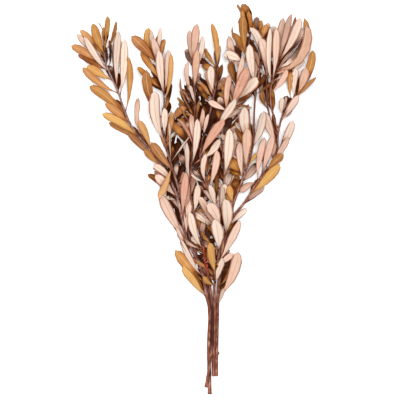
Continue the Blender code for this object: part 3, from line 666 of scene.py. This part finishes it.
def leaf_face(name, stops, other_stops, deep_shade_colour, rib_colour, foot_colour, vein_strength, roughness):
    """One face of a dried leaf: its tone, drying streaks, midrib, veins, margin and specks, with
    painted shade at the margin and deep in the bunch.

    The other stops are pinker, and each leaf's colour is a mix of the two of its own.
    """
    made, tree, shader = new_material(name)
    blade = add(tree, "ShaderNodeUVMap", uv_map="blade").outputs[0]
    parts = add(tree, "ShaderNodeSeparateXYZ", [(0, blade)])
    tint = add(tree, "ShaderNodeAttribute", attribute_name="tint").outputs["Fac"]
    shade_and_age = add(tree, "ShaderNodeAttribute", attribute_name="shade_and_age").outputs["Fac"]
    place = add(tree, "ShaderNodeTexCoord").outputs["Object"]
    # Spread out, a leaf's tint is a number that no other leaf is likely to have.
    own = add(tree, "ShaderNodeMath", [(0, tint), (1, 37)], operation="MULTIPLY").outputs[0]

    # Blotches about 9 mm across, and a grain of 1.5 mm, the finest that shows. Streaks
    # run along the blade where it dried in folds, about 1.5 mm apart.
    blotch = add(tree, "ShaderNodeTexNoise", [(0, place), ("Scale", 110), ("Detail", 3)])
    grain = add(tree, "ShaderNodeTexNoise", [(0, place), ("Scale", 650), ("Detail", 2)])
    drawn = add(tree, "ShaderNodeMapping", [(0, blade), ("Scale", (8, 2.0, 1))])
    streak = add(tree, "ShaderNodeTexNoise",
                 [("Vector", drawn.outputs[0]), ("W", own), ("Scale", 1), ("Detail", 3)],
                 noise_dimensions="4D")
    tone = add(tree, "ShaderNodeMath", [(0, blotch.outputs[0]), (1, 0.55), (2, tint)],
               operation="MULTIPLY_ADD")
    tone = add(tree, "ShaderNodeMath", [(0, grain.outputs[0]), (1, 0.2), (2, tone.outputs[0])],
               operation="MULTIPLY_ADD")
    tone = add(tree, "ShaderNodeMath", [(0, streak.outputs[0]), (1, 0.9), (2, tone.outputs[0])],
               operation="MULTIPLY_ADD")
    tone = add(tree, "ShaderNodeMapRange",
               [(0, tone.outputs[0]), ("From Min", 0.75), ("From Max", 2.2)])
    colour = tones(tree, tone.outputs[0], stops)
    other = tones(tree, tone.outputs[0], other_stops)
    kind = add(tree, "ShaderNodeMath", [(0, own)], operation="FRACT")
    kind = add(tree, "ShaderNodeMapRange",
               [(0, kind.outputs[0]), ("From Min", 0.35), ("From Max", 0.95), ("To Max", 0.9)])
    colour = add(tree, "ShaderNodeMix",
                 [("Factor", kind.outputs[0]), (6, colour), (7, other)],
                 data_type="RGBA").outputs[2]

    # The midrib is about 0.7 mm wide halfway along the blade, and thins to the tip.
    off = add(tree, "ShaderNodeMath", [(0, parts.outputs[0]), (1, 0.5)], operation="SUBTRACT")
    off = add(tree, "ShaderNodeMath", [(0, off.outputs[0])], operation="ABSOLUTE").outputs[0]
    wide = add(tree, "ShaderNodeMapRange",
               [(0, parts.outputs[1]), ("To Min", 0.045), ("To Max", 0.018)])
    rib = add(tree, "ShaderNodeMath", [(0, off), (1, wide.outputs[0])], operation="DIVIDE")
    rib = add(tree, "ShaderNodeMapRange",
              [(0, rib.outputs[0]), ("From Min", 0.5), ("From Max", 1.4),
               ("To Min", 0.9), ("To Max", 0)],
              interpolation_type="SMOOTHSTEP")

    # Side veins leave the midrib at a slant, one every 3 mm or so.
    slant = add(tree, "ShaderNodeMath", [(0, off), (1, -0.37), (2, parts.outputs[1])],
                operation="MULTIPLY_ADD")
    vein = add(tree, "ShaderNodeMath", [(0, slant.outputs[0]), (1, 115)], operation="MULTIPLY")
    vein = add(tree, "ShaderNodeMath", [(0, vein.outputs[0])], operation="SINE")
    vein = add(tree, "ShaderNodeMapRange",
               [(0, vein.outputs[0]), ("From Min", 0.4), ("From Max", 1.0),
                ("To Max", vein_strength)])
    lines = add(tree, "ShaderNodeMath", [(0, rib.outputs[0]), (1, vein.outputs[0])],
                operation="MAXIMUM")
    colour = add(tree, "ShaderNodeMix",
                 [("Factor", lines.outputs[0]), (6, colour), (7, linear(rib_colour))],
                 data_type="RGBA").outputs[2]

    # The stalk end dried browner; the outer 1 mm or so is a brown margin plus painted shade.
    foot = add(tree, "ShaderNodeMapRange",
               [(0, parts.outputs[1]), ("From Min", 0.04), ("From Max", 0.26),
                ("To Min", 0.75), ("To Max", 0)],
               interpolation_type="SMOOTHSTEP")
    margin = add(tree, "ShaderNodeMapRange",
                 [(0, off), ("From Min", 0.35), ("From Max", 0.44), ("To Max", 0.85)])
    browned_and_shaded = add(tree, "ShaderNodeMath", [(0, foot.outputs[0]), (1, margin.outputs[0])],
                  operation="MAXIMUM")
    colour = add(tree, "ShaderNodeMix",
                 [("Factor", browned_and_shaded.outputs[0]), (6, colour), (7, linear(foot_colour))],
                 data_type="RGBA").outputs[2]

    # Deep in the bunch, blades are darker and richer: partly browner drying, partly painted shade.
    richer = add(tree, "ShaderNodeMapRange",
                 [(0, shade_and_age), ("From Min", 0.14), ("From Max", 0.9), ("To Min", 1), ("To Max", 1.8)])
    colour = add(tree, "ShaderNodeGamma", [(0, colour), (1, richer.outputs[0])]).outputs[0]
    deep = add(tree, "ShaderNodeMapRange",
               [(0, shade_and_age), ("From Min", 0.42), ("From Max", 0.98), ("To Max", 0.96)],
               interpolation_type="SMOOTHSTEP")
    colour = add(tree, "ShaderNodeMix",
                 [("Factor", deep.outputs[0]), (6, colour), (7, linear(deep_shade_colour))],
                 data_type="RGBA").outputs[2]

    # Insect specks, about 1.3 mm across, on one leaf in six or so.
    speck = add(tree, "ShaderNodeTexVoronoi", [(0, place), ("Scale", 60)])
    speck = add(tree, "ShaderNodeMapRange",
                [(0, speck.outputs["Distance"]), ("From Min", 0.03), ("From Max", 0.05),
                 ("To Min", 0.85), ("To Max", 0)])
    colour = add(tree, "ShaderNodeMix",
                 [("Factor", speck.outputs[0]), (6, colour), (7, linear("3a2018"))],
                 data_type="RGBA").outputs[2]
    tree.links.new(colour, shader.inputs["Base Color"])

    height = add(tree, "ShaderNodeMath", [(0, lines.outputs[0]), (1, streak.outputs[0])],
                 operation="ADD")
    relief = add(tree, "ShaderNodeBump",
                 [("Strength", 0.5), ("Distance", 0.5 * MM), ("Height", height.outputs[0])])
    tree.links.new(relief.outputs[0], shader.inputs["Normal"])
    shader.inputs["Roughness"].default_value = roughness
    shader.inputs["IOR"].default_value = 1.42
    shader.inputs["Specular IOR Level"].default_value = 0.05
    return made


def bark_material():
    """Dried twig bark: rust brown with paler ridges along it, greyer on some stems, with painted
    shade.
    """
    made, tree, shader = new_material("dried_twig_bark_weathered")
    place = add(tree, "ShaderNodeTexCoord").outputs["Object"]
    grey = add(tree, "ShaderNodeAttribute", attribute_name="grey").outputs["Fac"]
    deep = add(tree, "ShaderNodeAttribute", attribute_name="shade_and_age").outputs["Fac"]
    knot = add(tree, "ShaderNodeAttribute", attribute_name="knot").outputs["Fac"]
    knobbly = add(tree, "ShaderNodeAttribute", attribute_name="knobbly").outputs["Fac"]
    # Ridges 1.6 mm apart and about 12 mm long: as fine as they can be and still show.
    drawn = add(tree, "ShaderNodeMapping", [(0, place), ("Scale", (620, 80, 620))])
    ridges = add(tree, "ShaderNodeTexNoise", [(0, drawn.outputs[0]), ("Scale", 1), ("Detail", 4)])
    patches = add(tree, "ShaderNodeTexNoise", [(0, place), ("Scale", 75), ("Detail", 3)])
    flecks = add(tree, "ShaderNodeTexNoise", [(0, place), ("Scale", 420), ("Detail", 2)])
    tone = add(tree, "ShaderNodeMath", [(0, ridges.outputs[0]), (1, 1.2), (2, -0.45)],
               operation="MULTIPLY_ADD")
    tone = add(tree, "ShaderNodeMath", [(0, patches.outputs[0]), (1, 0.9), (2, tone.outputs[0])],
               operation="MULTIPLY_ADD").outputs[0]
    colour = tones(tree, tone, [
        (0.15, "280c06"), (0.4, "5b291b"), (0.65, "7c4735"), (0.95, "a87c69"),
    ])
    greyer = tones(tree, tone, [
        (0.15, "2e1f1d"), (0.4, "62443f"), (0.65, "8c6a62"), (0.95, "bfa9a3"),
    ])
    colour = add(tree, "ShaderNodeMix", [("Factor", grey), (6, colour), (7, greyer)],
                 data_type="RGBA").outputs[2]
    # Where the stem is knobbly the new bark is orange red between dark cracks.
    raw = tones(tree, flecks.outputs[0], [(0.38, "2e0f08"), (0.52, "7d2d17"), (0.7, "bd5a33")])
    colour = add(tree, "ShaderNodeMix", [("Factor", knobbly), (6, colour), (7, raw)],
                 data_type="RGBA").outputs[2]
    dark = add(tree, "ShaderNodeMath", [(0, knot), (1, 0.6)], operation="MULTIPLY")
    colour = add(tree, "ShaderNodeMix",
                 [("Factor", dark.outputs[0]), (6, colour), (7, linear("3b1a10"))],
                 data_type="RGBA").outputs[2]
    # Painted shade: darker where the stem lies deep among the leaves, at its flanks, and along the
    # dark stretch of the red stem.
    dark = add(tree, "ShaderNodeMath", [(0, deep), (1, 0.92)], operation="MULTIPLY")
    colour = add(tree, "ShaderNodeMix",
                 [("Factor", dark.outputs[0]), (6, colour), (7, linear("2c0f08"))],
                 data_type="RGBA").outputs[2]
    tree.links.new(colour, shader.inputs["Base Color"])
    relief = add(tree, "ShaderNodeBump",
                 [("Strength", 0.7), ("Distance", 0.4 * MM), ("Height", ridges.outputs[0])])
    tree.links.new(relief.outputs[0], shader.inputs["Normal"])
    shader.inputs["Roughness"].default_value = 0.6
    shader.inputs["Specular IOR Level"].default_value = 0.1
    return made


def cut_wood_material():
    """Clipped end of a dry twig: pale fibres with darker flecks, as fine as show, 1 mm."""
    made, tree, shader = new_material("dry_twig_wood_clipped")
    place = add(tree, "ShaderNodeTexCoord").outputs["Object"]
    fibres = add(tree, "ShaderNodeTexNoise", [(0, place), ("Scale", 900), ("Detail", 3)])
    colour = tones(tree, fibres.outputs[0], [(0.3, "6f4830"), (0.55, "a87b55"), (0.8, "c9a27a")])
    tree.links.new(colour, shader.inputs["Base Color"])
    relief = add(tree, "ShaderNodeBump",
                 [("Strength", 0.5), ("Distance", 0.2 * MM), ("Height", fibres.outputs[0])])
    tree.links.new(relief.outputs[0], shader.inputs["Normal"])
    shader.inputs["Roughness"].default_value = 0.8
    return made


# ---------------------------------------------------------------- stage


def build_stage():
    """A pale floor, two large soft lights overhead, and a camera that looks straight down."""
    bpy.ops.object.select_all(action="DESELECT")
    bpy.ops.mesh.primitive_plane_add(size=8)
    floor = bpy.context.object
    floor.name = "floor"
    # Matt pale card, with a mottle that is too faint to see as a pattern.
    made, tree, shader = new_material("pale_studio_floor")
    place = add(tree, "ShaderNodeTexCoord").outputs["Object"]
    mottle = add(tree, "ShaderNodeTexNoise", [(0, place), ("Scale", 4)])
    colour = tones(tree, mottle.outputs[0], [(0.0, FLOOR_TONES[0]), (1.0, FLOOR_TONES[1])])
    tree.links.new(colour, shader.inputs["Base Color"])
    shader.inputs["Roughness"].default_value = 0.9
    floor.data.materials.append(made)

    for name, place, size, power in LAMPS:
        light = bpy.data.lights.new(name, "AREA")
        light.size = size
        light.energy = power
        lamp = bpy.data.objects.new(name, light)
        lamp.location = place
        lamp.rotation_euler = (-Vector(place)).to_track_quat("-Z", "Y").to_euler()
        bpy.context.scene.collection.objects.link(lamp)

    world = bpy.data.worlds.new("studio")
    world.use_nodes = True
    sky = world.node_tree.nodes["Background"]
    sky.inputs["Color"].default_value = (1, 1, 1, 1)
    sky.inputs["Strength"].default_value = SKY
    bpy.context.scene.world = world
    bpy.context.scene.view_settings.view_transform = "Standard"

    camera = bpy.data.cameras.new("camera")
    camera.lens = LENS
    camera.sensor_width = SENSOR
    camera.clip_end = 20
    above = bpy.data.objects.new("camera", camera)
    above.location = CAMERA_PLACE
    bpy.context.scene.collection.objects.link(above)
    bpy.context.scene.camera = above


draw = random.Random(SEED)
# The upper face dried smooth and dull: ochre to brown, with hardly any gloss.
upper_face = leaf_face(
    "dried_leaf_upper_face_smooth",
    [(0.0, "b68d51"), (0.35, "a6753f"), (0.65, "8c5e2e"), (1.0, "633a1c")],
    [(0.0, "af8767"), (0.35, "a16f49"), (0.65, "835436"), (1.0, "5a3321")],
    deep_shade_colour="2a0f04", rib_colour="c69c68", foot_colour="7f4824", vein_strength=0.12,
    roughness=0.5,
)
# The underside is felted with short hairs: pale, pinkish and matt, with a tan midrib.
underside = leaf_face(
    "dried_leaf_underside_felted",
    [(0.0, "c4b5a9"), (0.3, "bfa99d"), (0.65, "b89684"), (1.0, "9a6a50")],
    [(0.0, "c2aa9e"), (0.35, "bb9a8d"), (0.65, "b08375"), (1.0, "8c5842")],
    deep_shade_colour="301106", rib_colour="b98547", foot_colour="834727", vein_strength=0.2,
    roughness=0.78,
)
bark = bark_material()
cut_wood = cut_wood_material()
wood_surface = surface_of(WOOD_NODES)
packed = surface_of(WOOD_NODES + LEAF_NODES)
blank = leaf_blank()
leaves = {node: read_leaves(node) for node in LEAF_NODES}
fill_gaps(leaves, draw)
feet = []
for node, group in leaves.items():
    feet += leaf_group(blank, node, group, draw)
bpy.data.objects.remove(blank)
for node in WOOD_NODES:
    bark_stem(node, np.array(feet), draw)
build_stage()
